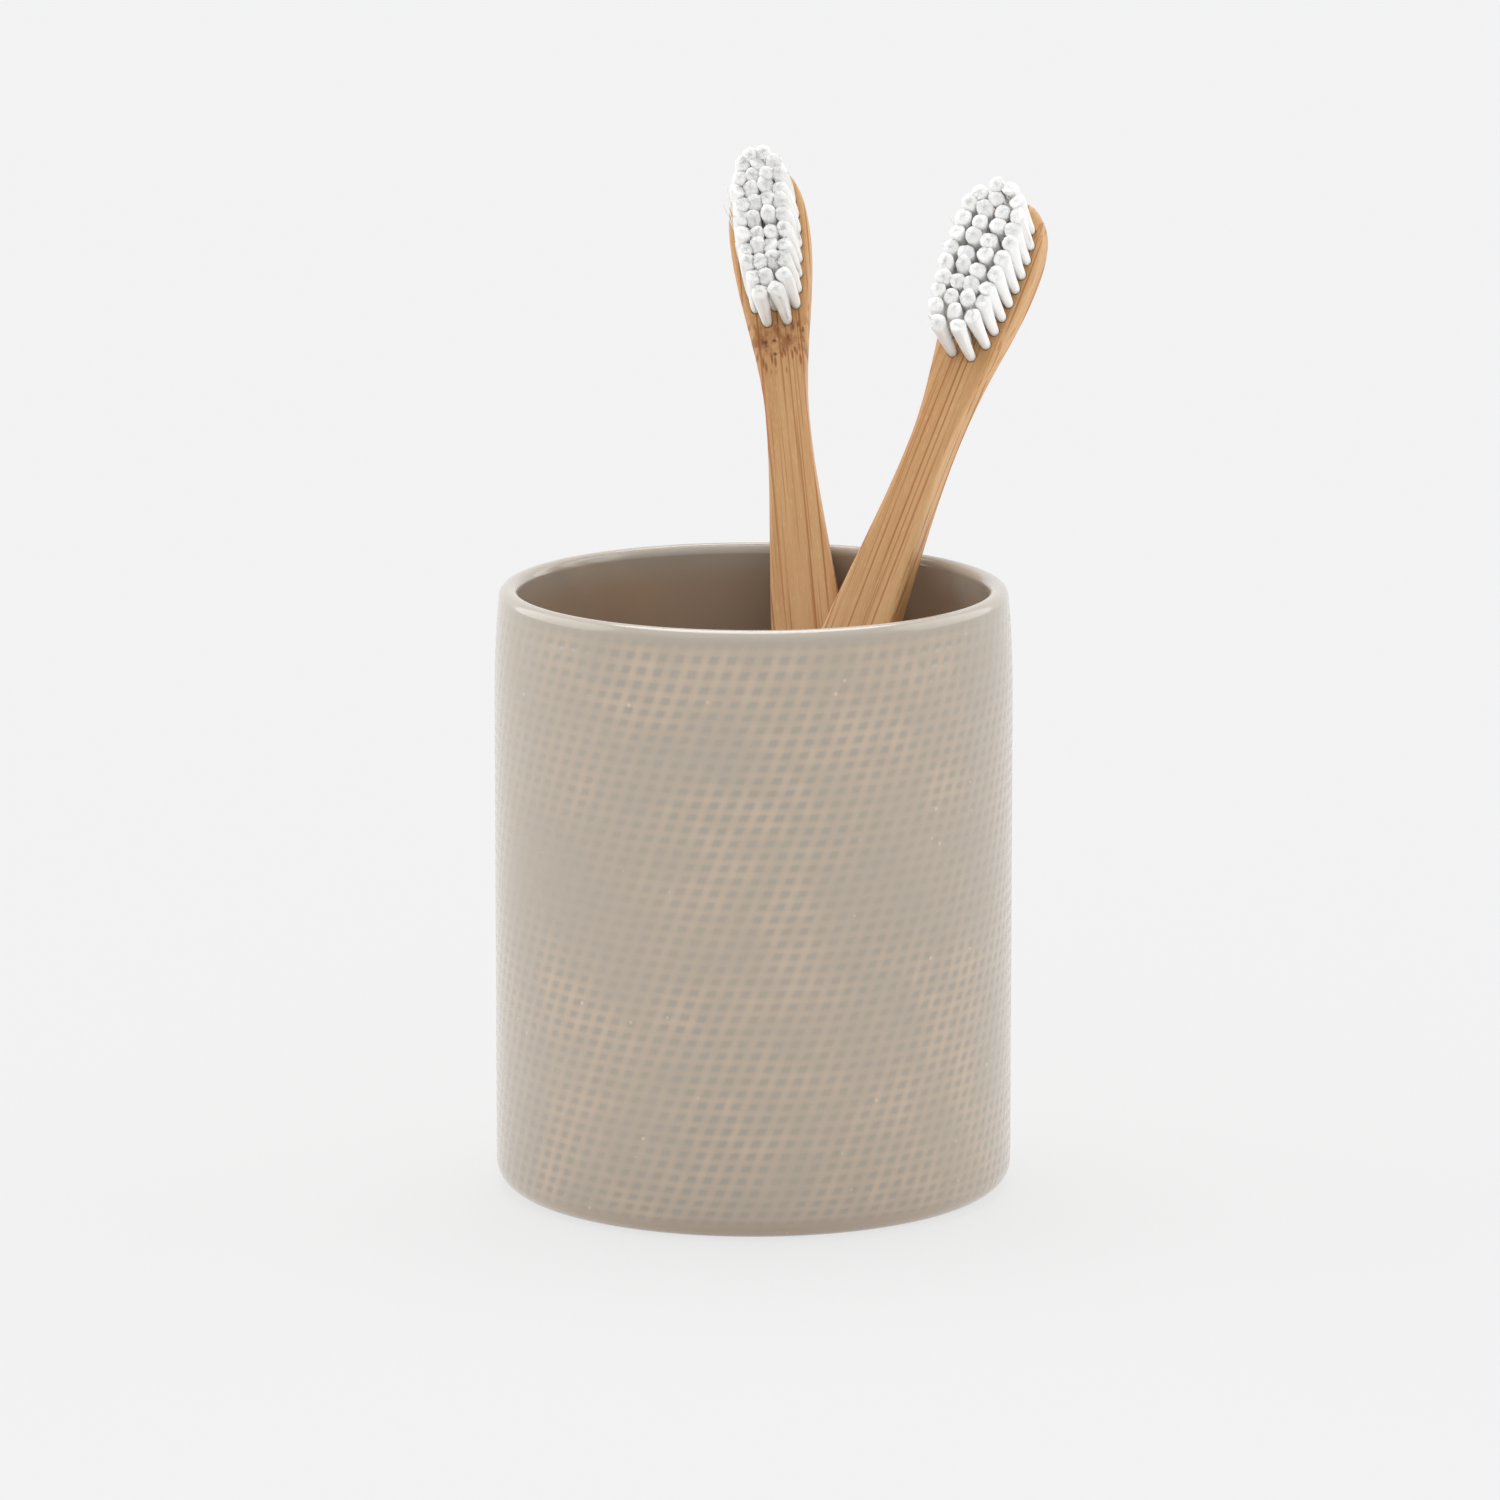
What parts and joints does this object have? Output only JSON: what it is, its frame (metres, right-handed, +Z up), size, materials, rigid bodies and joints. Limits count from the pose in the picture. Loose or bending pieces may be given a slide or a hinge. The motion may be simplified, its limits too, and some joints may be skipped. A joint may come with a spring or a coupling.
{
  "type": "toothbrush holder",
  "caption": "Round stoneware tumbler with a woven relief and a smooth rounded lip, with bamboo toothbrushes that lean in it and lift out.",
  "frame": {"origin": "centre of the tumbler's flat foot, on the surface it stands on", "axes": "+Z up along the tumbler's centre line, -Y the front, which the bristles face, +X to the right as seen from the front"},
  "size_m": [0.0864, 0.1074, 0.1557],
  "materials": {
    "glazed_stoneware": "glossy warm grey glaze over a woven relief",
    "bamboo": "sanded and oiled bamboo, satin",
    "anchor_metal": "plain flat wire",
    "bristle": "white nylon filaments"
  },
  "bodies": {
    "cup": {"cup": "glazed_stoneware"},
    "left_brush": {"left_brush_handle": "bamboo", "left_brush_anchors": "anchor_metal", "left_brush_tuft_row_01": "bristle", "left_brush_tuft_row_02": "bristle", "left_brush_tuft_row_03": "bristle", "left_brush_tuft_row_04": "bristle", "left_brush_tuft_row_05": "bristle", "left_brush_tuft_row_06": "bristle", "left_brush_tuft_row_07": "bristle", "left_brush_tuft_row_08": "bristle", "left_brush_tuft_row_09": "bristle", "left_brush_tuft_row_10": "bristle", "left_brush_tuft_row_11": "bristle"},
    "right_brush": {"right_brush_handle": "bamboo", "right_brush_anchors": "anchor_metal", "right_brush_tuft_row_01": "bristle", "right_brush_tuft_row_02": "bristle", "right_brush_tuft_row_03": "bristle", "right_brush_tuft_row_04": "bristle", "right_brush_tuft_row_05": "bristle", "right_brush_tuft_row_06": "bristle", "right_brush_tuft_row_07": "bristle", "right_brush_tuft_row_08": "bristle", "right_brush_tuft_row_09": "bristle", "right_brush_tuft_row_10": "bristle", "right_brush_tuft_row_11": "bristle"}
  },
  "joints": [
    {"name": "left_brush_lift", "type": "slide", "parent": "cup", "child": "left_brush", "axis": [-0.0866, 0.5343, 0.8408], "range_m": [0, 0.12]},
    {"name": "right_brush_lift", "type": "slide", "parent": "cup", "child": "right_brush", "axis": [0.3505, 0.4549, 0.8187], "range_m": [0, 0.12]}
  ]
}
